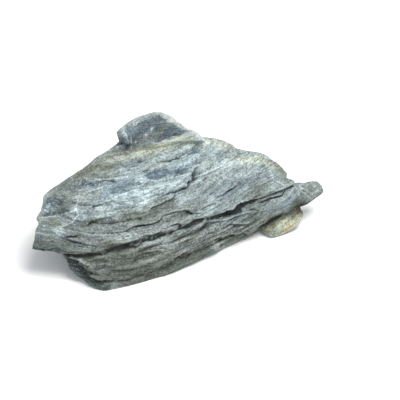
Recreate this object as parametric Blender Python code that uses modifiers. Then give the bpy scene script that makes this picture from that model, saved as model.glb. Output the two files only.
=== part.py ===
# Seiryu stone: one weathered piece of layered grey-blue limestone, lying on its cleaved underside.
# Blocks give the big masses, drawn ledges and cracks break their faces, and the layers step in and out.
import math

import bmesh
import bpy
import numpy as np

# Sizes in millimetres, in the stone's working frame: x along its front, y towards its back, z up from the ground.
MM = 0.001
VOXEL = 1.9
WORN_EDGE_PASSES = 2
NORMAL_PASSES = 6
DRAWN_IN = 1.0  # how far the blocks' skin is drawn in before the layers are raised on it
STANDS_OUT = 0.8  # anything raised beyond this
HEIGHT_KEPT = 0.4  # keeps this share of its height
TRIANGLES = 9400
CENTRE = (-20.5, -3.1)  # of the finished outline, where the part's origin goes
BASE_FLAT = 0.7  # anything lower than this lies in the resting face
BASE_SNAP = 0.25  # the same, once there are fewer facets
HOLLOW_DEPTH = 5.0
REST_PATCH = (0.0, 0.0, 16.0, 34.0)  # the underside is flat round this point, and may be hollow further out

# Ledges are drawn as they are seen from the front: turned this far round and this far above the horizon.
SIGHT_TURN = math.radians(28)
SIGHT_RISE = math.radians(40)

# Where the layers lie: level at LEVEL_X, curving up to both ends, and dipping to the back.
LEVEL_X = -49.0
LAYER_BEND = 0.00105
LAYER_DIP = 0.14

BLOCKS = {
    "lower slab": [
        (-117, -71, 0), (-128, -65, 0), (-135, -51, 2), (-87, -78, 0), (-65, -79.5, 0), (-42, -74.5, 0),
        (-24, -70, 0),
        (-10, -66, 0), (47, -57, 0), (57, -59, 0), (86, -56, 0),
        (92, -26, 0), (56, 22, 0), (-14, 52, 0), (-80, 48, 0), (-118, 18, 0),
        (-119, -72, 5), (-86, -77, 6), (-36, -75, 8), (8, -67, 9), (57, -63, 10), (-132, -42, 6),
        (-146.5, -31.5, 17),
        (-135, -46, 29), (-82, -60, 36), (-29, -62, 38), (16, -62, 38), (59, -66, 31), (98, -68, 24),
        (96, -36, 28), (60, 34, 34), (-16, 70, 32), (-92, 62, 30), (-136, 24, 26),
    ],
    "tongue": [
        (59, -66, 31), (108, -71, 24), (133, -66, 28), (131, -54, 34), (123, -50, 35.5), (100, -42, 28.5),
        (60, -30, 33), (36, -64, 34), (34, -59.5, 41.5), (52, -54, 42), (89, -56.5, 38), (103, -55, 37.5),
        (60, -55, 8), (100, -55, 8), (122, -56, 20),
    ],
    "upper slab": [
        (-176.8, -14, 34), (-169, -4, 27), (-146, -36, 27), (-117, -51, 35), (-64, -58, 39), (-28, -61, 42),
        (2, -64, 44), (20, -63, 46), (50.5, -56, 44), (88, -58.5, 40), (105, -56, 41),
        (-154, 0, 56), (-148, 12, 75.5), (-117, 21, 79), (-86, 24, 84.5), (-90, -21, 66), (-54, -35, 67),
        (-17, -42, 65), (27, 0, 86.5), (44, -4, 84), (55, -16, 79), (68, -25, 74), (84, -35, 70),
        (93, -47, 60.5),
        (-122, 38, 49), (-92, 52, 47), (-28, 54, 78), (14, 38, 82), (48, 10, 68),
        (-140, 30, 26), (-112, 58, 31), (-24, 74, 38), (58, 40, 38), (96, -20, 34),
    ],
    "top block": [
        (-61, 34, 88), (-38, 27, 86), (-24, 17, 86), (-8, 12, 86), (12, 8, 86), (27, -1, 86),
        (-53, 42, 100.5), (-41, 44, 102), (-23, 40, 101.5), (-4, 39, 115), (11, 22, 104), (15, 10, 101),
        (26.5, -1, 93.5),
        (-34, 56, 80), (-8, 58, 86), (18, 38, 85), (28, 15, 82),
    ],
    "pale lump": [
        (56, -64, 4), (64, -78, 0), (80, -78, 0), (93, -78, 4), (103, -76, 15), (98, -72, 23),
        (60, -69, 13),
        (74, -74, 21), (62, -52, 0), (92, -54, 0), (100, -56, 24),
    ],
}

# Ledges and cracks: each is a line of (across, up) points on the plane square to the line of sight,
# with how far its upper lip stands out, how far the stone below it is cut in, and how far each fades.
LEDGES = [
    # the long crack under the upper slab, and the deep overhang further right
    dict(lip=1.6, cut=4.8, fade_up=6, fade_down=1.5,
         line=[(-97, -43), (-89, -40), (-78, -38), (-71, -35.5), (-66, -33), (-58, -31), (-53, -29.5),
               (-44, -30), (-38, -26.5), (-27, -24.5), (-20, -21), (-13, -17.5), (-8, -17.5), (-3, -14),
               (4, -12.5), (10, -11)]),
    dict(lip=1.8, cut=4.8, fade_up=9, fade_down=6.5,
         line=[(12, -15), (20, -10.5), (26, -7.5), (31, -3), (38, -2), (42, 1.5), (47, 5), (52, 6.5),
               (59, 11), (69, 15), (74, 18.5), (80, 21), (86, 20.5), (90, 19)]),
    dict(lip=0.9, cut=3.0, fade_up=3, fade_down=1.8,
         line=[(77, 13), (84, 14.5), (90, 17), (97, 19), (102, 22), (106, 25), (110, 27.5)]),
    dict(lip=0.4, cut=3.4, fade_up=2, fade_down=1.8, line=[(68, 4), (74, 5.8), (81, 5.5)]),
    # the layered front of the upper slab, from the beak at the left end
    dict(lip=1.0, cut=3.0, fade_up=5, fade_down=3,
         line=[(-140, -33), (-130, -33.5), (-121, -32), (-116, -35)]),
    dict(lip=1.2, cut=3.0, fade_up=6, fade_down=2.4, line=[(-117, -24), (-108, -20), (-101, -19)]),
    dict(lip=1.8, cut=3.8, fade_up=8, fade_down=2.6,
         line=[(-94, -10), (-91, -7), (-87, -5), (-78, -3.5), (-65, -1.5)]),
    dict(lip=1.4, cut=3.0, fade_up=7, fade_down=2.4, line=[(-55, -3), (-46, -1.5), (-35, -2)]),
    dict(lip=1.2, cut=2.4, fade_up=6, fade_down=2.4, line=[(-84, -30), (-72, -26), (-60, -23), (-50, -21)]),
    dict(lip=2.0, cut=4.0, fade_up=8, fade_down=2.8,
         line=[(-60, -18), (-49, -13), (-43, -10.5), (-33, -9.5), (-26, -8), (-21, -4), (-15, 0.5),
               (-8, 3.5), (5, 5.5), (10, 4.5), (15, 2.5), (21, 3.5), (28, 3.5)]),
    dict(lip=1.6, cut=3.6, fade_up=6, fade_down=2.4,
         line=[(-48, -28), (-43, -25), (-38, -22.5), (-28, -21), (-20, -16.5), (-15, -14), (-8, -10),
               (-2, -8.5), (4, -10.5), (9, -9), (14, -5), (20, -2)]),
    # the lower slab's front
    dict(lip=1.4, cut=3.0, fade_up=5, fade_down=2.6,
         line=[(-74, -56), (-61, -54.5), (-50, -53.5), (-39, -52)]),
    dict(lip=1.4, cut=3.2, fade_up=5, fade_down=3.0,
         line=[(-34, -57), (-26, -54.5), (-16, -51.5), (-6, -46), (2, -39), (12, -33)]),
    dict(lip=1.0, cut=2.4, fade_up=4, fade_down=2.2, line=[(-36, -48), (-23, -45)]),
    dict(lip=1.2, cut=2.4, fade_up=5, fade_down=3.5,
         line=[(-68, -63.5), (-47, -65), (-29, -61), (-15, -56)]),
    dict(lip=2.4, cut=4.5, fade_up=5, fade_down=8,
         line=[(-115, -43), (-102, -44.5), (-99, -48), (-97, -53.5), (-91, -60), (-83, -66), (-73, -66.5),
               (-62, -65)]),
    dict(lip=0.5, cut=4.5, fade_up=2, fade_down=4, line=[(-101, -46), (-96, -48.5), (-90, -51)]),
    dict(lip=1.6, cut=2.6, fade_up=5, fade_down=3.2,
         line=[(13, -17), (20, -13), (32, -7), (48, -5), (61, 0.5), (74, 0.5), (85, 4), (92, 7)]),
    dict(lip=1.4, cut=2.8, fade_up=5, fade_down=3.2,
         line=[(28, -21), (40, -14), (52, -9.5), (65, -9), (79, -4)]),
    dict(lip=1.6, cut=2.6, fade_up=4, fade_down=6,
         line=[(72, -13), (82, -8), (94, -1.5), (101, 0.5), (111, 4.5), (120, 7)]),
    dict(lip=0.0, cut=5.5, fade_up=1.5, fade_down=14,
         line=[(32, -27), (37, -24), (52, -20), (66, -19), (74, -19)]),
    # the broad upper face: the left plate's edge, the hollow below it, the ridge and the right end's steps
    dict(lip=3.0, cut=2.8, fade_up=18, fade_down=5,
         line=[(-30, 20), (-15, 22), (-4, 25.5), (4, 28.5), (8, 31), (12, 38), (12.5, 44.5), (15.5, 47.5),
               (20, 49), (19.5, 51.5), (11, 56)]),
    dict(lip=1.6, cut=3.0, fade_up=7, fade_down=9,
         line=[(-33, 3), (-27, 9), (-20, 12), (-10, 17), (-3, 23)]),
    dict(lip=2.4, cut=-2.4, fade_up=10, fade_down=5,
         line=[(4, 26), (8, 31.5), (15, 36), (24, 40.5), (31, 43.5), (40, 46.5), (48, 52), (59, 55),
               (68, 58)]),
    dict(lip=0.0, cut=2.0, fade_up=3, fade_down=7, line=[(34, 38), (40, 41), (50, 45), (64, 49)]),
    dict(lip=0.6, cut=2.4, fade_up=2, fade_down=2, line=[(37.5, 37), (39, 41), (43, 44.5)]),
    dict(lip=1.6, cut=3.2, fade_up=10, fade_down=3,
         line=[(30, 16), (36, 18.5), (42, 21.5), (48, 25), (55, 29), (62, 34)]),
    dict(lip=1.2, cut=2.0, fade_up=6, fade_down=3, line=[(18, 6), (28, 10), (36, 12), (46, 19)]),
    dict(lip=1.2, cut=1.8, fade_up=7, fade_down=3, line=[(68, 55), (67, 46), (66, 38)]),
    dict(lip=0.3, cut=2.0, fade_up=2, fade_down=2, line=[(73, 53), (77, 54.5), (81, 54)]),
    dict(lip=1.6, cut=2.0, fade_up=7, fade_down=3,
         line=[(-113, 31), (-104, 35.5), (-98, 37), (-92, 38), (-89, 35.5), (-73, 35.5), (-57, 34.5)]),
    dict(lip=1.4, cut=1.8, fade_up=8, fade_down=4,
         line=[(-102, 2), (-90, 7), (-75, 12), (-60, 15), (-45, 19), (-32, 23)]),
    dict(lip=1.2, cut=1.6, fade_up=7, fade_down=3, line=[(-86, 18), (-70, 21), (-50, 25), (-36, 29)]),
    dict(lip=1.2, cut=1.6, fade_up=6, fade_down=3, line=[(-40, 44), (-26, 46), (-10, 50)]),
    dict(lip=1.2, cut=1.8, fade_up=6, fade_down=3, line=[(-30, 52), (-15, 56), (5, 61), (18, 68)]),
    # the dark block on top: the groove at its foot, and the pale shelf below that
    dict(lip=0.5, cut=3.0, fade_up=2, fade_down=1.8,
         line=[(-62, 66), (-47, 67), (-33, 71.5), (-20, 74.5), (-10, 78), (3, 81.5), (10, 80)]),
    dict(lip=2.6, cut=2.0, fade_up=4, fade_down=3,
         line=[(-88, 53), (-76, 58), (-66, 61), (-50, 64.5), (-35, 67.5), (-15, 70), (-3, 72), (10, 74.5)]),
]

CALM_SOFT = 5.0
CALM_AREAS = [  # where the layers hardly show
    [(30, 20), (44, 36), (66, 50), (84, 56), (104, 44), (112, 32), (100, 24), (84, 22), (66, 16), (50, 10)],
    [(-56, 80), (-50, 92), (-27, 100), (-4, 90), (8, 84), (-10, 78), (-40, 73)],
    [(52, 2), (70, 12), (90, 17), (110, 26), (130, 34), (142, 28), (138, 16), (120, 8), (90, 2), (70, -4)],
    [(-33, 10), (-17, 17), (-8, 19), (-5, 10), (-20, 2), (-32, 0)],
    [(-152, -34), (-122, -32), (-112, -2), (-110, 24), (-124, 40), (-142, 34)],
]
CALM_SHARE = 0.6

# Layers step in and out by themselves too: (thickness, how far, wander along the layer, seed)
PLATES = [(10.0, 3.2, 42.0, 3), (4.2, 1.3, 20.0, 11)]
# Broken layer edges that wander over a face: (along, across, through the layers, height, steps, seed)
FLAKE_EDGE = 0.16  # share of a step that is its slope
FLAKES = [(34.0, 17.0, 7.0, 3.4, 5, 71), (14.0, 8.0, 3.6, 1.5, 4, 72)]
ROUGHNESS = [(26.0, 1.6, 21), (11.0, 0.8, 22)]  # (wavelength, height, seed)
RAGGED_SIZE, RAGGED_REACH, RAGGED_SEEDS = 7.0, 1.5, (31, 32)  # how the drawn lines are frayed
UNEVEN_SIZE, UNEVEN_MEAN, UNEVEN_REACH, UNEVEN_SEED = 15.0, 0.8, 0.45, 35  # how a crack's depth varies
LEDGE_ENDS = 0.2  # share of a ledge's length over which it fades out at each end
HOLLOW_SIZE, HOLLOW_SEED = 34.0, 41

STONE_COLOUR = (0.27, 0.315, 0.325, 1.0)
STONE_ROUGHNESS = 0.82


def unit_step(value, low, high):
    # 0 below low, 1 above high, smooth between.
    t = np.clip((value - low) / (high - low), 0.0, 1.0)
    return t * t * (3.0 - 2.0 * t)


def corner_value(ix, iy, iz, seed):
    # A fixed value from -1 to 1 for each corner of a whole-number grid.
    mixed = (ix * 374761393 + iy * 668265263 + iz * 1440662683 + seed * 1274126177) & 0xFFFFFFFF
    mixed = ((mixed ^ (mixed >> 13)) * 1274126177) & 0xFFFFFFFF
    return ((mixed ^ (mixed >> 16)) & 0xFFFF) / 32767.5 - 1.0


def noise(points, seed):
    # Smooth noise from -1 to 1: corner values of the grid cell, blended across it.
    cell = np.floor(points).astype(np.int64)
    t = points - cell
    t = t * t * t * (t * (t * 6.0 - 15.0) + 10.0)
    total = np.zeros(len(points))
    for dx in (0, 1):
        for dy in (0, 1):
            for dz in (0, 1):
                weight = (np.abs(1 - dx - t[:, 0]) * np.abs(1 - dy - t[:, 1]) * np.abs(1 - dz - t[:, 2]))
                total += weight * corner_value(cell[:, 0] + dx, cell[:, 1] + dy, cell[:, 2] + dz, seed)
    return total


def sight_axes():
    # Across, up and towards the viewer, as unit vectors of the working frame.
    across = np.array([math.cos(SIGHT_TURN), -math.sin(SIGHT_TURN), 0.0])
    away = np.array([math.sin(SIGHT_TURN), math.cos(SIGHT_TURN), 0.0])
    upright = np.array([0.0, 0.0, 1.0])
    up = away * math.sin(SIGHT_RISE) + upright * math.cos(SIGHT_RISE)
    towards = upright * math.sin(SIGHT_RISE) - away * math.cos(SIGHT_RISE)
    return across, up, towards


def layer_height(points):
    # How high a point is in the stack of layers: its z, less the bend along x, plus the dip to the back.
    bend = LAYER_BEND * (points[:, 0] - LEVEL_X) ** 2
    wave = 3.0 * noise(points / 55.0, 5) + 1.0 * noise(points / 19.0, 6)
    return points[:, 2] - bend + LAYER_DIP * points[:, 1] + wave


def new_object(name, mesh, collection):
    obj = bpy.data.objects.new(name, mesh)
    collection.objects.link(obj)
    return obj


def fused_blocks(collection):
    # The blocks as convex hulls, fused into one skin by a voxel remesh.
    bm = bmesh.new()
    for corners in BLOCKS.values():
        placed = [bm.verts.new(tuple(c * MM for c in corner)) for corner in corners]
        made = bmesh.ops.convex_hull(bm, input=placed)
        inside = [v for v in made["geom_interior"] + made["geom_unused"] if isinstance(v, bmesh.types.BMVert)]
        bmesh.ops.delete(bm, geom=list(set(inside)), context="VERTS")
    mesh = bpy.data.meshes.new("blocks")
    bm.to_mesh(mesh)
    bm.free()
    obj = new_object("blocks", mesh, collection)
    remesh = obj.modifiers.new("fuse", "REMESH")
    remesh.mode = "VOXEL"
    remesh.voxel_size = VOXEL * MM
    return finished(obj)


def finished(obj):
    # The mesh that the object's modifiers make; the object itself goes.
    graph = bpy.context.evaluated_depsgraph_get()
    mesh = bpy.data.meshes.new_from_object(obj.evaluated_get(graph))
    bpy.data.objects.remove(obj)
    return mesh


def thinned(skin, collection):
    # The skin with fewer facets, and its resting face set level again.
    obj = new_object("skin", skin, collection)
    thin = obj.modifiers.new("fewer facets", "DECIMATE")
    thin.ratio = TRIANGLES / (2.0 * len(skin.polygons))
    mesh = finished(obj)
    points = points_of(mesh)
    points[:, 2] = np.where(points[:, 2] < BASE_SNAP, 0.0, points[:, 2])
    set_points(mesh, points)
    return mesh


def points_of(mesh):
    flat = np.empty(len(mesh.vertices) * 3, np.float32)
    mesh.vertices.foreach_get("co", flat)
    return flat.reshape(-1, 3).astype(float) / MM


def set_points(mesh, points):
    mesh.vertices.foreach_set("co", (points * MM).astype(np.float32).ravel())
    mesh.update()


def normals_of(mesh):
    flat = np.empty(len(mesh.vertices) * 3, np.float32)
    mesh.vertex_normals.foreach_get("vector", flat)
    return flat.reshape(-1, 3).astype(float)


def smoothed(mesh, values, passes):
    # Each vertex's value drawn halfway to the mean of its neighbours', pass after pass.
    ends = np.empty(len(mesh.edges) * 2, np.int32)
    mesh.edges.foreach_get("vertices", ends)
    a, b = ends.reshape(-1, 2).T
    count = np.bincount(a, minlength=len(values)) + np.bincount(b, minlength=len(values))
    for _ in range(passes):
        total = np.zeros_like(values)
        np.add.at(total, a, values[b])
        np.add.at(total, b, values[a])
        values = 0.5 * values + 0.5 * total / count[:, None]
    return values


def along_line(seen, line):
    # For each seen point: signed distance to the line, positive above it, and how far along the line it is.
    best = np.full(len(seen), 1e9)
    signed = np.zeros(len(seen))
    run = np.zeros(len(seen))
    start = 0.0
    for p, q in zip(line[:-1], line[1:]):
        p, q = np.array(p, float), np.array(q, float)
        length = np.linalg.norm(q - p)
        way = (q - p) / length
        offset = seen - p
        t = np.clip(offset @ way, 0.0, length)
        gap = np.linalg.norm(offset - t[:, None] * way, axis=1)
        side = way[0] * offset[:, 1] - way[1] * offset[:, 0]
        nearer = gap < best
        best = np.where(nearer, gap, best)
        signed = np.where(nearer, np.copysign(gap, side), signed)
        run = np.where(nearer, start + t, run)
        start += length
    return signed, run / start


def inside_outline(seen, corners):
    # 1 well inside a closed outline and 0 outside it: a point is inside where an odd number of the outline's
    # sides cross its level to its right, and the edge is softened over the distance to the nearest side.
    nearest = np.full(len(seen), 1e9)
    inside = np.zeros(len(seen), bool)
    for p, q in zip(corners, corners[1:] + corners[:1]):
        p, q = np.array(p, float), np.array(q, float)
        way, offset = q - p, seen - p
        t = np.clip(offset @ way / (way @ way), 0.0, 1.0)
        nearest = np.minimum(nearest, np.linalg.norm(offset - t[:, None] * way, axis=1))
        crossed = (p[1] > seen[:, 1]) != (q[1] > seen[:, 1])
        meets = p[0] + way[0] * offset[:, 1] / (way[1] if way[1] else 1.0)
        inside ^= crossed & (seen[:, 0] < meets)
    return unit_step(np.where(inside, nearest, -nearest), -CALM_SOFT, CALM_SOFT)


def seen_flat(points):
    # Where each point falls on the plane square to the line of sight, as (across, up).
    across, up, _ = sight_axes()
    return np.stack([points @ across, points @ up], axis=1)


def ledge_depth(points, facing):
    # How far the drawn ledges and cracks move each point in or out, on the side that is seen.
    ragged = np.stack([noise(points / RAGGED_SIZE, seed) for seed in RAGGED_SEEDS], axis=1)
    seen = seen_flat(points) + RAGGED_REACH * ragged
    uneven = UNEVEN_MEAN + UNEVEN_REACH * noise(points / UNEVEN_SIZE, UNEVEN_SEED)
    depth = np.zeros(len(points))
    for ledge in LEDGES:
        signed, share = along_line(seen, ledge["line"])
        ends = unit_step(np.minimum(share, 1.0 - share), 0.0, LEDGE_ENDS)
        above = ledge["lip"] * np.exp(-np.abs(signed) / ledge["fade_up"])
        below = -ledge["cut"] * np.exp(-np.abs(signed) / ledge["fade_down"]) * uneven
        depth += ends * np.where(signed > 0.0, above, below)
    return depth * facing


def flake_depth(points, height):
    # Noise stretched along the layers and cut into flat steps.
    depth = np.zeros(len(points))
    for along, across, through, rise, steps, seed in FLAKES:
        place = np.stack([points[:, 0] / along, points[:, 1] / across, height / through], axis=1)
        value = noise(place, seed) * steps
        whole = np.floor(value)
        depth += rise * (whole + unit_step(value - whole, 0.0, FLAKE_EDGE)) / steps
    return depth


def plate_depth(points, height, steepness):
    # Each layer stands out or draws back by its own slowly wandering amount.
    depth = np.zeros(len(points))
    for thickness, reach, wander, seed in PLATES:
        layer = np.floor(height / thickness)
        share = height / thickness - layer
        along = np.stack([points[:, 0] / wander, points[:, 1] / wander, layer * 7.31], axis=1)
        groove = np.exp(-((np.minimum(share, 1.0 - share) * thickness / 0.9) ** 2))
        depth += reach * noise(along, seed) - 0.25 * reach * groove
    return depth * (0.35 + 0.65 * steepness)


def weathered(mesh):
    # The fused skin with worn edges, ledges, layers and lumps, flat where it rests.
    towards = sight_axes()[2]
    points = smoothed(mesh, points_of(mesh), WORN_EDGE_PASSES)
    set_points(mesh, points)
    normals = smoothed(mesh, normals_of(mesh), NORMAL_PASSES)
    normals /= np.linalg.norm(normals, axis=1, keepdims=True)
    facing = unit_step(normals @ towards, 0.0, 0.3)
    steepness = 1.0 - np.abs(normals[:, 2])
    height = layer_height(points)
    seen = seen_flat(points)
    calm = np.maximum.reduce([inside_outline(seen, corners) for corners in CALM_AREAS]) * facing
    depth = plate_depth(points, height, steepness) + flake_depth(points, height)
    depth = depth * (1.0 - CALM_SHARE * calm) + ledge_depth(points, facing)
    for wavelength, rise, seed in ROUGHNESS:
        depth += rise * noise(points / wavelength, seed)
    lowered = STANDS_OUT + HEIGHT_KEPT * (depth - STANDS_OUT)
    depth = np.where(depth > STANDS_OUT, lowered, depth) - DRAWN_IN
    resting = unit_step(points[:, 2], 1.0, 6.0)
    moved = points + normals * (depth * resting)[:, None]
    from_patch = np.hypot(moved[:, 0] - REST_PATCH[0], moved[:, 1] - REST_PATCH[1])
    rough = noise(points / HOLLOW_SIZE, HOLLOW_SEED)
    hollow = HOLLOW_DEPTH * unit_step(rough, 0.15, 0.75) * unit_step(-normals[:, 2], 0.8, 0.98)
    moved[:, 2] += hollow * (1.0 - resting) * unit_step(from_patch, REST_PATCH[2], REST_PATCH[3])
    moved[:, 2] = np.where(moved[:, 2] < BASE_FLAT, 0.0, moved[:, 2])
    moved[:, :2] -= CENTRE
    return moved


def stone_material():
    material = bpy.data.materials.new("layered grey-blue limestone")
    material.use_nodes = True
    shader = material.node_tree.nodes["Principled BSDF"]
    shader.inputs["Base Color"].default_value = STONE_COLOUR
    shader.inputs["Roughness"].default_value = STONE_ROUGHNESS
    shader.inputs["Metallic"].default_value = 0.0
    return material


def build():
    for obj in list(bpy.data.objects):
        bpy.data.objects.remove(obj)
    collection = bpy.data.collections.new("seiryu stone")
    bpy.context.scene.collection.children.link(collection)
    skin = fused_blocks(collection)
    set_points(skin, weathered(skin))
    mesh = thinned(skin, collection)
    mesh.materials.clear()
    mesh.materials.append(stone_material())
    new_object("stone", mesh, collection)


build()
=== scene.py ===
# Seiryu stone: the finish of one weathered piece of layered grey-blue limestone.
# Shapes are worked out in millimetres in the stone's working frame, as its solid is, and put down in metres.
import math

import bmesh
import bpy
import numpy as np
from mathutils import Matrix, Vector


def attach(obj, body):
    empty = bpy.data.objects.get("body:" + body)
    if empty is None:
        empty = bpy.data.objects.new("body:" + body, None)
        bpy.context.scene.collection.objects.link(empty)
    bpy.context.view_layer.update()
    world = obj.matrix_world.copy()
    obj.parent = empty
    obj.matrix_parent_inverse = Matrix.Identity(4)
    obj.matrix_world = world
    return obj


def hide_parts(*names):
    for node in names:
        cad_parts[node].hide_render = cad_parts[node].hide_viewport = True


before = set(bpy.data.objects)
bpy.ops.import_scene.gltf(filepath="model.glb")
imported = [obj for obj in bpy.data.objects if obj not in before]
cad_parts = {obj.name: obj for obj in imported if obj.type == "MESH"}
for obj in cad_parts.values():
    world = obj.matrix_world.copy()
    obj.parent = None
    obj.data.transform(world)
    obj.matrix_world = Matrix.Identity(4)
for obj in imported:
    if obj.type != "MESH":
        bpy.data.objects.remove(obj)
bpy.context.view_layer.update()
print("frame loaded:", ", ".join(sorted(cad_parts)))

mm = 0.001

# What the stone is made of: the same blocks, ledges and layers as its solid, then finer ones.
stoneForm = {
    "centre": (-20.5, -3.1),       # of the outline in the working frame, where the part's origin goes
    "rings": 332, "spokes": 300,   # grid lines across and around
    "tips": ((-176, -13, 35), (131, -61, 30)),   # where the grid's rings close, left and right
    "spine": ((-136, -18, 38), (-18, -14, 44), (98, -57, 27)),   # start, middle and end of the rays' line
    "rayShares": (0.02, 0.98), "farOut": 220.0, "raySteps": 40,
    "evenPasses": (300, 40, 8), "slide": 0.9,    # for the coarse, finer and finest grid
    "hiddenSpacing": 1.9, "hiddenEdge": (-0.3, 0.15),   # the grid is spaced wider underneath and behind
    "wornEdge": 0.9, "softJoint": 0.6, "drawnIn": 1.0, "normalPasses": 20,
    "facingEdge": (0.0, 0.3),      # how squarely a face with ledges is seen
    "standsOut": 0.8, "beyondShare": 0.4,   # relief past standsOut counts by this share
    "calmed": 0.6,                 # share of the relief that calm areas lose
    "levelX": -49.0, "layerBend": 0.00105, "layerDip": 0.14,
    "layerWaves": ((55.0, 3.0, 5), (19.0, 1.0, 6)),   # wavelength, height, seed
    "restingFade": (1.0, 6.0),     # heights between which the relief sets in
    "restingBelow": 0.7,           # what lies lower is level
    "restPatch": (0.0, 0.0, 16.0, 34.0),   # x, y and two radii: no hollow inside the first
    "hollowDepth": 5.0, "hollowNoise": (34.0, 41), "hollowEdge": (0.15, 0.75), "undersideEdge": (0.8, 0.98),
}

blocks = {
    "lower slab": [
        (-117, -71, 0), (-128, -65, 0), (-135, -51, 2), (-87, -78, 0), (-65, -79.5, 0), (-42, -74.5, 0),
        (-24, -70, 0), (-10, -66, 0), (47, -57, 0), (57, -59, 0), (86, -56, 0),
        (92, -26, 0), (56, 22, 0), (-14, 52, 0), (-80, 48, 0), (-118, 18, 0),
        (-119, -72, 5), (-86, -77, 6), (-36, -75, 8), (8, -67, 9), (57, -63, 10),
        (-132, -42, 6), (-146.5, -31.5, 17),
        (-135, -46, 29), (-82, -60, 36), (-29, -62, 38), (16, -62, 38), (59, -66, 31), (98, -68, 24),
        (96, -36, 28), (60, 34, 34), (-16, 70, 32), (-92, 62, 30), (-136, 24, 26),
    ],
    "tongue": [
        (59, -66, 31), (108, -71, 24), (133, -66, 28), (131, -54, 34), (123, -50, 35.5), (100, -42, 28.5),
        (60, -30, 33), (36, -64, 34), (34, -59.5, 41.5), (52, -54, 42), (89, -56.5, 38), (103, -55, 37.5),
        (60, -55, 8), (100, -55, 8), (122, -56, 20),
    ],
    "upper slab": [
        (-176.8, -14, 34), (-169, -4, 27), (-146, -36, 27), (-117, -51, 35), (-64, -58, 39), (-28, -61, 42),
        (2, -64, 44), (20, -63, 46), (50.5, -56, 44), (88, -58.5, 40), (105, -56, 41),
        (-154, 0, 56), (-148, 12, 75.5), (-117, 21, 79), (-86, 24, 84.5), (-90, -21, 66), (-54, -35, 67),
        (-17, -42, 65), (27, 0, 86.5), (44, -4, 84), (55, -16, 79), (68, -25, 74),
        (84, -35, 70), (93, -47, 60.5),
        (-122, 38, 49), (-92, 52, 47), (-28, 54, 78), (14, 38, 82), (48, 10, 68),
        (-140, 30, 26), (-112, 58, 31), (-24, 74, 38), (58, 40, 38), (96, -20, 34),
    ],
    "top block": [
        (-61, 34, 88), (-38, 27, 86), (-24, 17, 86), (-8, 12, 86), (12, 8, 86), (27, -1, 86),
        (-53, 42, 100.5), (-41, 44, 102), (-23, 40, 101.5), (-4, 39, 115),
        (11, 22, 104), (15, 10, 101), (26.5, -1, 93.5),
        (-34, 56, 80), (-8, 58, 86), (18, 38, 85), (28, 15, 82),
    ],
    "pale lump": [
        (56, -64, 4), (64, -78, 0), (80, -78, 0), (93, -78, 4), (103, -76, 15), (98, -72, 23), (60, -69, 13),
        (74, -74, 21), (62, -52, 0), (92, -54, 0), (100, -56, 24),
    ],
}

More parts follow.
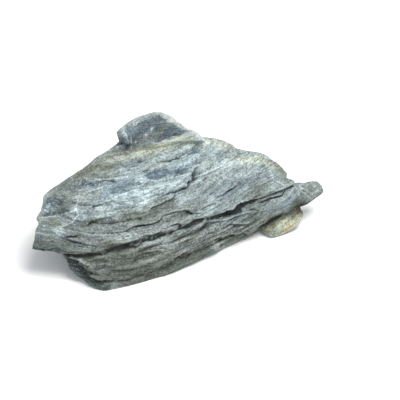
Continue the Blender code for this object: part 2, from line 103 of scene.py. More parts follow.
# Ledges and cracks: how far the upper lip stands out, how far the stone below is cut in, how far each of the
# two fades, and the line, as (across, up) points square to the line of sight.
ledges = [
    # the long crack under the upper slab, and the deep overhang further right
    (1.6, 3.6, 6, 1.3,
     [(-97, -43), (-89, -40), (-78, -38), (-71, -35.5), (-66, -33), (-58, -31), (-53, -29.5), (-44, -30),
      (-38, -26.5), (-27, -24.5), (-20, -21), (-13, -17.5), (-8, -17.5), (-3, -14), (4, -12.5), (10, -11)]),
    (1.8, 4.8, 9, 6.5,
     [(12, -15), (20, -10.5), (26, -7.5), (31, -3), (38, -2), (42, 1.5), (47, 5), (52, 6.5), (59, 11),
      (69, 15), (74, 18.5), (80, 21), (86, 20.5), (90, 19)]),
    (0.9, 3.0, 3, 1.8, [(77, 13), (84, 14.5), (90, 17), (97, 19), (102, 22), (106, 25), (110, 27.5)]),
    (0.4, 3.4, 2, 1.8, [(68, 4), (74, 5.8), (81, 5.5)]),
    # the layered front of the upper slab, from the beak at the left end
    (1.0, 3.0, 5, 3, [(-140, -33), (-130, -33.5), (-121, -32), (-116, -35)]),
    (1.2, 3.0, 6, 2.4, [(-117, -24), (-108, -20), (-101, -19)]),
    (1.8, 3.8, 8, 2.6, [(-94, -10), (-91, -7), (-87, -5), (-78, -3.5), (-65, -1.5)]),
    (1.4, 3.0, 7, 2.4, [(-55, -3), (-46, -1.5), (-35, -2)]),
    (1.2, 2.4, 6, 2.4, [(-84, -30), (-72, -26), (-60, -23), (-50, -21)]),
    (2.0, 4.0, 8, 2.8,
     [(-60, -18), (-49, -13), (-43, -10.5), (-33, -9.5), (-26, -8), (-21, -4), (-15, 0.5), (-8, 3.5),
      (5, 5.5), (10, 4.5), (15, 2.5), (21, 3.5), (28, 3.5)]),
    (1.6, 3.6, 6, 2.4,
     [(-48, -28), (-43, -25), (-38, -22.5), (-28, -21), (-20, -16.5), (-15, -14), (-8, -10), (-2, -8.5),
      (4, -10.5), (9, -9), (14, -5), (20, -2)]),
    # the lower slab's front
    (1.4, 3.0, 5, 2.6, [(-74, -56), (-61, -54.5), (-50, -53.5), (-39, -52)]),
    (1.4, 3.2, 5, 3.0, [(-34, -57), (-26, -54.5), (-16, -51.5), (-6, -46), (2, -39), (12, -33)]),
    (1.0, 2.4, 4, 2.2, [(-36, -48), (-23, -45)]),
    (1.2, 2.4, 5, 3.5, [(-68, -63.5), (-47, -65), (-29, -61), (-15, -56)]),
    (2.4, 4.5, 5, 8,
     [(-115, -43), (-102, -44.5), (-99, -48), (-97, -53.5), (-91, -60), (-83, -66), (-73, -66.5),
      (-62, -65)]),
    (0.5, 4.5, 2, 4, [(-101, -46), (-96, -48.5), (-90, -51)]),
    (1.6, 2.6, 5, 3.2, [(13, -17), (20, -13), (32, -7), (48, -5), (61, 0.5), (74, 0.5), (85, 4), (92, 7)]),
    (1.4, 2.8, 5, 3.2, [(28, -21), (40, -14), (52, -9.5), (65, -9), (79, -4)]),
    (1.6, 2.6, 4, 6, [(72, -13), (82, -8), (94, -1.5), (101, 0.5), (111, 4.5), (120, 7)]),
    (0.0, 5.5, 1.5, 14, [(32, -27), (37, -24), (52, -20), (66, -19), (74, -19)]),
    # the broad upper face: the left plate's edge, the hollow below it, the ridge and the right end's steps
    (3.0, 2.8, 18, 5,
     [(-30, 20), (-15, 22), (-4, 25.5), (4, 28.5), (8, 31), (12, 38), (12.5, 44.5), (15.5, 47.5), (20, 49),
      (19.5, 51.5), (11, 56)]),
    (1.6, 3.0, 7, 9, [(-33, 3), (-27, 9), (-20, 12), (-10, 17), (-3, 23)]),
    (2.4, -2.4, 10, 5,
     [(4, 26), (8, 31.5), (15, 36), (24, 40.5), (31, 43.5), (40, 46.5), (48, 52), (59, 55), (68, 58)]),
    (0.0, 2.0, 3, 7, [(34, 38), (40, 41), (50, 45), (64, 49)]),
    (0.6, 2.4, 2, 2, [(37.5, 37), (39, 41), (43, 44.5)]),
    (1.6, 3.2, 10, 3, [(30, 16), (36, 18.5), (42, 21.5), (48, 25), (55, 29), (62, 34)]),
    (1.2, 2.0, 6, 3, [(18, 6), (28, 10), (36, 12), (46, 19)]),
    (1.2, 1.8, 7, 3, [(68, 55), (67, 46), (66, 38)]),
    (0.3, 2.0, 2, 2, [(73, 53), (77, 54.5), (81, 54)]),
    (1.6, 2.0, 7, 3,
     [(-113, 31), (-104, 35.5), (-98, 37), (-92, 38), (-89, 35.5), (-73, 35.5), (-57, 34.5)]),
    (1.4, 1.8, 8, 4, [(-102, 2), (-90, 7), (-75, 12), (-60, 15), (-45, 19), (-32, 23)]),
    (1.2, 1.6, 7, 3, [(-86, 18), (-70, 21), (-50, 25), (-36, 29)]),
    (1.2, 1.6, 6, 3, [(-40, 44), (-26, 46), (-10, 50)]),
    (1.2, 1.8, 6, 3, [(-30, 52), (-15, 56), (5, 61), (18, 68)]),
    # the dark block on top: the groove at its foot, and the pale shelf below that
    (0.5, 3.0, 2, 1.8, [(-62, 66), (-47, 67), (-33, 71.5), (-20, 74.5), (-10, 78), (3, 81.5), (10, 80)]),
    (2.6, 2.0, 4, 3,
     [(-88, 53), (-76, 58), (-66, 61), (-50, 64.5), (-35, 67.5), (-15, 70), (-3, 72), (10, 74.5)]),
]

ledgeWear = {
    "wander": ((7.0, 1.5, 31), (2.2, 0.45, 33)),         # of the ledges' lines: wavelength, height, seed
    "cutShare": 0.8, "cutWander": ((15.0, 0.45, 35),),   # of the cuts' depth
    "endShare": 0.2,                    # of a ledge's length, over which each end fades
    "crackFade": 2.0, "slitDrop": 0.6,  # a ledge whose cut fades faster is a crack with a slit
}

plates = [(10.0, 3.2, 42.0, 3), (4.2, 1.3, 20.0, 11)]   # thickness, reach, length, seed
finePlates = [(1.9, 0.55, 11.0, 51), (0.9, 0.25, 6.0, 52)]
plateForm = {
    "apart": 7.31,                      # keeps one layer's noise clear of the next one's
    "grooveWidth": 0.9, "widthShare": 0.25, "grooveShare": 0.25, "levelShare": 0.35,
}
roughness = [(26.0, 1.6, 21), (11.0, 0.8, 22)]          # wavelength, height, seed
fineRoughness = [(4.5, 0.35, 61), (2.1, 0.22, 62), (1.2, 0.12, 63)]
# Sizes of the flakes along, across and through the layers, their height, steps and seed.
flakeSets = [(34.0, 17.0, 7.0, 3.4, 5, 71), (14.0, 8.0, 3.6, 1.5, 4, 72)]
flakeEdge = 0.16                        # share of a step that its edge takes

calmAreas = dict(soft=5.0, outlines=[    # where the layers hardly show
    [(30, 20), (44, 36), (66, 50), (84, 56), (104, 44), (112, 32), (100, 24), (84, 22), (66, 16), (50, 10)],
    [(-56, 80), (-50, 92), (-27, 100), (-4, 90), (8, 84), (-10, 78), (-40, 73)],
    [(52, 2), (70, 12), (90, 17), (110, 26), (130, 34), (142, 28), (138, 16), (120, 8), (90, 2), (70, -4)],
    [(-33, 10), (-17, 17), (-8, 19), (-5, 10), (-20, 2), (-32, 0)],
    [(-152, -34), (-122, -32), (-112, -2), (-110, 24), (-124, 40), (-142, 34)],
])

sightTurn, sightRise = math.radians(28), math.radians(40)   # how the stone is seen from the front
rightward = np.array([math.cos(sightTurn), -math.sin(sightTurn), 0.0])
awayLevel = np.array([math.sin(sightTurn), math.cos(sightTurn), 0.0])
upright = np.array([0.0, 0.0, 1.0])
upward = awayLevel * math.sin(sightRise) + upright * math.cos(sightRise)
towards = upright * math.sin(sightRise) - awayLevel * math.cos(sightRise)


def unitStep(value, low, high):
    # 0 below low, 1 above high, and 3t^2 - 2t^3 between.
    t = np.clip((value - low) / (high - low), 0.0, 1.0)
    return t * t * (3.0 - 2.0 * t)


def cornerValue(ix, iy, iz, seed):
    # A fixed value from -1 to 1 for each whole-number corner.
    mixed = (ix * 374761393 + iy * 668265263 + iz * 1440662683 + seed * 1274126177) & 0xFFFFFFFF
    mixed = ((mixed ^ (mixed >> 13)) * 1274126177) & 0xFFFFFFFF
    return ((mixed ^ (mixed >> 16)) & 0xFFFF) / 32767.5 - 1.0


def noise(points, seed):
    # The eight corner values round each point, blended by 6t^5 - 15t^4 + 10t^3 along each axis.
    cell = np.floor(points).astype(np.int64)
    t = points - cell
    t = t * t * t * (t * (t * 6.0 - 15.0) + 10.0)
    total = np.zeros(points.shape[:-1])
    for dx in (0, 1):
        for dy in (0, 1):
            for dz in (0, 1):
                weight = np.abs(1 - dx - t[..., 0]) * np.abs(1 - dy - t[..., 1]) * np.abs(1 - dz - t[..., 2])
                corner = cornerValue(cell[..., 0] + dx, cell[..., 1] + dy, cell[..., 2] + dz, seed)
                total += weight * corner
    return total


def waves(points, rows):
    # The noises of all rows added up: each row is a wavelength, a height and a seed.
    return sum(rise * noise(points / wavelength, seed) for wavelength, rise, seed in rows)


def wander(points, rows):
    # Two such sums as (across, up), the second with the next seed of each row.
    nextRows = [(wavelength, rise, seed + 1) for wavelength, rise, seed in rows]
    return np.stack([waves(points, rows), waves(points, nextRows)], axis=-1)


def hullPlanes(corners):
    # The convex hull of the corners as half-spaces: outward normals, and how far out each plane lies.
    bm = bmesh.new()
    for corner in corners:
        bm.verts.new(corner)
    bmesh.ops.convex_hull(bm, input=bm.verts)
    bm.normal_update()
    normals = np.array([face.normal[:] for face in bm.faces])
    onPlane = np.array([face.verts[0].co[:] for face in bm.faces])
    bm.free()
    side = np.sign(np.sum(normals * (onPlane - np.mean(corners, axis=0)), axis=1))
    normals = normals * side[:, None]
    offsets = np.sum(normals * onPlane, axis=1, keepdims=True)
    planes = np.unique(np.round(np.concatenate([normals, offsets], axis=1), 3), axis=0)
    return planes[:, :3], planes[:, 3]


def blockField(points, hulls):
    # How far outside the blocks each point is, and which way is out. A log of summed exponentials stands in
    # for the most of one block's planes and the least of the blocks, so edges are worn and joints filled.
    wear, joint = stoneForm["wornEdge"], stoneForm["softJoint"]
    gaps, outs = [], []
    for normals, offsets in hulls:
        gap = points @ normals.T - offsets
        top = gap.max(axis=-1, keepdims=True)
        share = np.exp((gap - top) / wear)
        total = share.sum(axis=-1, keepdims=True)
        gaps.append((top + wear * np.log(total))[..., 0])
        outs.append((share / total) @ normals)
    gaps, outs = np.stack(gaps, axis=-1), np.stack(outs, axis=-2)
    least = gaps.min(axis=-1, keepdims=True)
    share = np.exp((least - gaps) / joint)
    total = share.sum(axis=-1, keepdims=True)
    return (least - joint * np.log(total))[..., 0], np.sum((share / total)[..., None] * outs, axis=-2)


def ontoSkin(points, hulls, steps=2):
    # Newton steps to where the field is zero.
    for _ in range(steps):
        gap, out = blockField(points, hulls)
        steepness = np.sum(out * out, axis=-1)
        points = points - (gap / np.maximum(steepness, 0.3))[..., None] * out
    return points, out / np.sqrt(np.maximum(steepness, 1e-9))[..., None]


def rayFan(rings, spokes, hulls):
    # Rays leave a bowed spine at polar angle pi (1 - across) to its axis and 2 pi around about it; each point
    # comes in along its ray from far out, each time by its distance from the blocks.
    across, around = np.meshgrid(np.linspace(*stoneForm["rayShares"], rings), np.arange(spokes) / spokes,
                                 indexing="ij")
    start, middle, end = (np.array(p, float) for p in stoneForm["spine"])
    axis = (end - start) / np.linalg.norm(end - start)
    side = np.cross(axis, upright)
    side /= np.linalg.norm(side)
    over = np.cross(side, axis)
    polar = math.pi * (1.0 - across)[..., None]
    turn = (2.0 * math.pi * around - 0.5 * math.pi)[..., None]
    f = 0.5 + 0.5 * np.cos(polar)
    bow = 2.0 * middle - 0.5 * (start + end)
    origins = (1 - f) ** 2 * start + 2 * f * (1 - f) * bow + f ** 2 * end
    ways = np.cos(polar) * axis + np.sin(polar) * (np.cos(turn) * side + np.sin(turn) * over)
    reach = np.full(across.shape, stoneForm["farOut"])
    for _ in range(stoneForm["raySteps"]):
        reach -= blockField(origins + reach[..., None] * ways, hulls)[0]
    return origins + reach[..., None] * ways


def gridNormals(points):
    # The cross product of the grid's two running directions, unit length, pointing out.
    along = np.gradient(points, axis=0)
    about = np.roll(points, -1, axis=1) - np.roll(points, 1, axis=1)
    normals = np.cross(about, along)
    normals /= np.linalg.norm(normals, axis=-1, keepdims=True) + 1e-12
    outward = points - points.mean(axis=(0, 1))
    return normals * np.sign(np.sum(normals * outward))


def gridBlur(values, passes):
    # Each point keeps half of itself and takes an eighth of each of its four neighbours, pass after pass.
    for _ in range(passes):
        padded = np.concatenate([values[:1], values, values[-1:]])
        lengthwise = padded[:-2] + padded[2:]
        around = lengthwise + np.roll(values, 1, axis=1) + np.roll(values, -1, axis=1)
        values = 0.5 * values + 0.125 * around
    return values


def between(before, after, weight, beforeWeight, afterWeight):
    # The middle of two neighbours, each pulling as hard as its weight and the point's own add up to.
    first, second = (weight + beforeWeight)[..., None], (weight + afterWeight)[..., None]
    return (first * before + second * after) / (first + second)


def relaxed(points, hulls, passes):
    # Pass after pass, each point slides along the skin to its neighbours' middle, both ways of the grid.
    spokes = points.shape[1]
    tips = [np.tile(np.array(tip, float), (1, spokes, 1)) for tip in stoneForm["tips"]]
    for _ in range(passes):
        points, out = ontoSkin(points, hulls, 1)
        weight = 1.0 + (stoneForm["hiddenSpacing"] - 1.0) * unitStep(out @ towards, *stoneForm["hiddenEdge"])
        lined = np.concatenate([tips[0], points, tips[1]])
        linedWeight = np.concatenate([weight[:1], weight, weight[-1:]])
        lengthwise = between(lined[:-2], lined[2:], weight, linedWeight[:-2], linedWeight[2:])
        about = between(np.roll(points, 1, 1), np.roll(points, -1, 1), weight,
                        np.roll(weight, 1, 1), np.roll(weight, -1, 1))
        pull = 0.5 * (lengthwise + about) - points
        points = points + stoneForm["slide"] * (pull - np.sum(pull * out, axis=-1, keepdims=True) * out)
    return ontoSkin(points, hulls)[0]


def finerGrid(points):
    # Twice the rings and spokes, each new one between two old ones.
    rings = points.shape[0]
    place = np.linspace(0, rings - 1, 2 * rings)
    low = np.minimum(place.astype(int), rings - 2)
    t = (place - low)[:, None, None]
    points = (1 - t) * points[low] + t * points[low + 1]
    middles = 0.5 * (points + np.roll(points, -1, axis=1))
    return np.stack([points, middles], axis=2).reshape(2 * rings, -1, 3)


def evenGrid(hulls):
    # A coarse fan evened out along the skin, then made twice as fine and evened again, twice.
    points = rayFan(stoneForm["rings"] // 4, stoneForm["spokes"] // 4, hulls)
    coarse, finer, finest = stoneForm["evenPasses"]
    points = relaxed(points, hulls, coarse)
    points = relaxed(finerGrid(points), hulls, finer)
    return relaxed(finerGrid(points), hulls, finest)


def layerHeight(points):
    # How high a point is in the stack of layers: z, less bend (x - level)^2, plus dip y and slow waves.
    bend = stoneForm["layerBend"] * (points[..., 0] - stoneForm["levelX"]) ** 2
    slow = waves(points, stoneForm["layerWaves"])
    return points[..., 2] - bend + stoneForm["layerDip"] * points[..., 1] + slow


def alongLine(seen, line):
    # Distance to the nearest stretch of the line, positive above it, and how far along the line that is.
    best = np.full(seen.shape[:-1], 1e9)
    signed, run, start = np.zeros_like(best), np.zeros_like(best), 0.0
    for p, q in zip(line[:-1], line[1:]):
        p, q = np.array(p, float), np.array(q, float)
        length = np.linalg.norm(q - p)
        way = (q - p) / length
        offset = seen - p
        t = np.clip(offset @ way, 0.0, length)
        gap = np.linalg.norm(offset - t[..., None] * way, axis=-1)
        side = way[0] * offset[..., 1] - way[1] * offset[..., 0]
        nearer = gap < best
        signed = np.where(nearer, np.copysign(gap, side), signed)
        run = np.where(nearer, start + t, run)
        best = np.where(nearer, gap, best)
        start += length
    return signed, run / start


def seenFlat(points):
    # Where a point falls on the plane square to the line of sight, as (across, up).
    return np.stack([points @ rightward, points @ upward], axis=-1)


def ledgeDepth(points, facing):
    # Each ledge: a lip that fades upwards and a cut that fades downwards, both as exp(-distance / fade). A
    # narrow crack also has a slit: exp(-d^2), with d the millimetres from just under its line.
    seen = seenFlat(points) + wander(points, ledgeWear["wander"])
    uneven = ledgeWear["cutShare"] + waves(points, ledgeWear["cutWander"])
    depth, slit = np.zeros(points.shape[:-1]), np.zeros(points.shape[:-1])
    for lip, cut, fadeUp, fadeDown, line in ledges:
        signed, share = alongLine(seen, line)
        ends = unitStep(np.minimum(share, 1.0 - share), 0.0, ledgeWear["endShare"])
        above = lip * np.exp(-np.abs(signed) / fadeUp)
        below = -cut * np.exp(-np.abs(signed) / fadeDown) * uneven
        depth += ends * (below + (above - below) * unitStep(signed, -0.5, 0.5))
        if fadeDown < ledgeWear["crackFade"]:
            slit = np.maximum(slit, ends * np.exp(-((signed + ledgeWear["slitDrop"]) ** 2)))
    return depth * facing, slit * facing


def plateDepth(points, height, steepness, sizes):
    # Each layer stands out or draws back by noise of its own, with a groove exp(-(distance / width)^2)
    # between layers, and less of both on level faces.
    form, depth = plateForm, np.zeros(points.shape[:-1])
    for thickness, reach, length, seed in sizes:
        layer = np.floor(height / thickness)
        share = height / thickness - layer
        along = np.stack([points[..., 0] / length, points[..., 1] / length, layer * form["apart"]], axis=-1)
        width = min(form["grooveWidth"], form["widthShare"] * thickness)
        groove = np.exp(-((np.minimum(share, 1.0 - share) * thickness / width) ** 2))
        depth += reach * noise(along, seed) - form["grooveShare"] * reach * groove
    return depth * (form["levelShare"] + (1.0 - form["levelShare"]) * steepness)


def flakeDepth(points, height):
    # Noise stretched along the layers and cut into flat steps, so that broken layer edges wander over a face.
    depth = np.zeros(points.shape[:-1])
    for along, across, through, rise, steps, seed in flakeSets:
        place = np.stack([points[..., 0] / along, points[..., 1] / across, height / through], axis=-1)
        value = noise(place, seed) * steps
        whole = np.floor(value)
        depth += rise * (whole + unitStep(value - whole, 0.0, flakeEdge)) / steps
    return depth


def weatheredStone():
    # The blocks' skin with worn edges, moved along its smoothed normals by ledges, layers, flakes and grain.
    hulls = [hullPlanes(corners) for corners in blocks.values()]
    points = evenGrid(hulls)
    normals = gridBlur(gridNormals(points), stoneForm["normalPasses"])
    normals /= np.linalg.norm(normals, axis=-1, keepdims=True)
    facing = unitStep(normals @ towards, *stoneForm["facingEdge"])
    steepness = 1.0 - np.abs(normals[..., 2])
    height = layerHeight(points)
    calm = 1.0 - stoneForm["calmed"] * patchMask(seenFlat(points), facing, calmAreas)
    depth = (plateDepth(points, height, steepness, plates) + flakeDepth(points, height)) * calm
    ledgeRelief, slit = ledgeDepth(points, facing)
    depth += plateDepth(points, height, steepness, finePlates) + ledgeRelief
    depth += waves(points, roughness + fineRoughness)
    beyond = np.maximum(depth - stoneForm["standsOut"], 0.0)
    depth -= (1.0 - stoneForm["beyondShare"]) * beyond
    resting = unitStep(points[..., 2], *stoneForm["restingFade"])
    moved = points + normals * ((depth - stoneForm["drawnIn"]) * resting)[..., None]
    x, y, inner, outer = stoneForm["restPatch"]
    offPatch = unitStep(np.hypot(moved[..., 0] - x, moved[..., 1] - y), inner, outer)
    wavelength, seed = stoneForm["hollowNoise"]
    hollow = unitStep(noise(points / wavelength, seed), *stoneForm["hollowEdge"])
    hollow *= unitStep(-normals[..., 2], *stoneForm["undersideEdge"])
    moved[..., 2] += stoneForm["hollowDepth"] * hollow * (1.0 - resting) * offPatch
    moved[..., 2] = np.where(moved[..., 2] < stoneForm["restingBelow"], 0.0, moved[..., 2])
    print("stone surface worked out:", moved.shape[0] * moved.shape[1], "points")
    return moved, normals, height, slit


def closedMesh(name, grid):
    # Quads between the rings, and a fan to the middle of the first and last ring.
    rings, spokes = grid.shape[:2]
    place = np.concatenate([grid.reshape(-1, 3), [grid[0].mean(axis=0)], [grid[-1].mean(axis=0)]])
    i, j = np.meshgrid(np.arange(rings - 1), np.arange(spokes), indexing="ij")
    k = (j + 1) % spokes
    quads = np.stack([i * spokes + j, i * spokes + k, (i + 1) * spokes + k, (i + 1) * spokes + j], axis=-1)
    j = np.arange(spokes)
    k = (j + 1) % spokes
    first = np.stack([k, j, np.full(spokes, rings * spokes)], axis=-1)
    last = (rings - 1) * spokes
    fan = np.stack([last + j, last + k, np.full(spokes, rings * spokes + 1)], axis=-1)
    mesh = bpy.data.meshes.new(name)
    mesh.from_pydata(place, [], quads.reshape(-1, 4).tolist() + first.tolist() + fan.tolist())
    bm = bmesh.new()
    bm.from_mesh(mesh)
    bmesh.ops.recalc_face_normals(bm, faces=bm.faces)
    bm.to_mesh(mesh)
    bm.free()
    mesh.shade_smooth()
    mesh.validate()
    return mesh


def withPoles(values):
    # A grid's values as one list, with each end ring's mean for the two poles.
    flat = values.reshape((-1,) + values.shape[2:])
    return np.concatenate([flat, [values[0].mean(axis=0)], [values[-1].mean(axis=0)]])


def addNumbers(mesh, name, values):
    flat = withPoles(values).astype(np.float32)
    mesh.attributes.new(name, "FLOAT", "POINT").data.foreach_set("value", flat)


def addVectors(mesh, name, values):
    flat = withPoles(values).astype(np.float32).ravel()
    mesh.attributes.new(name, "FLOAT_VECTOR", "POINT").data.foreach_set("vector", flat)


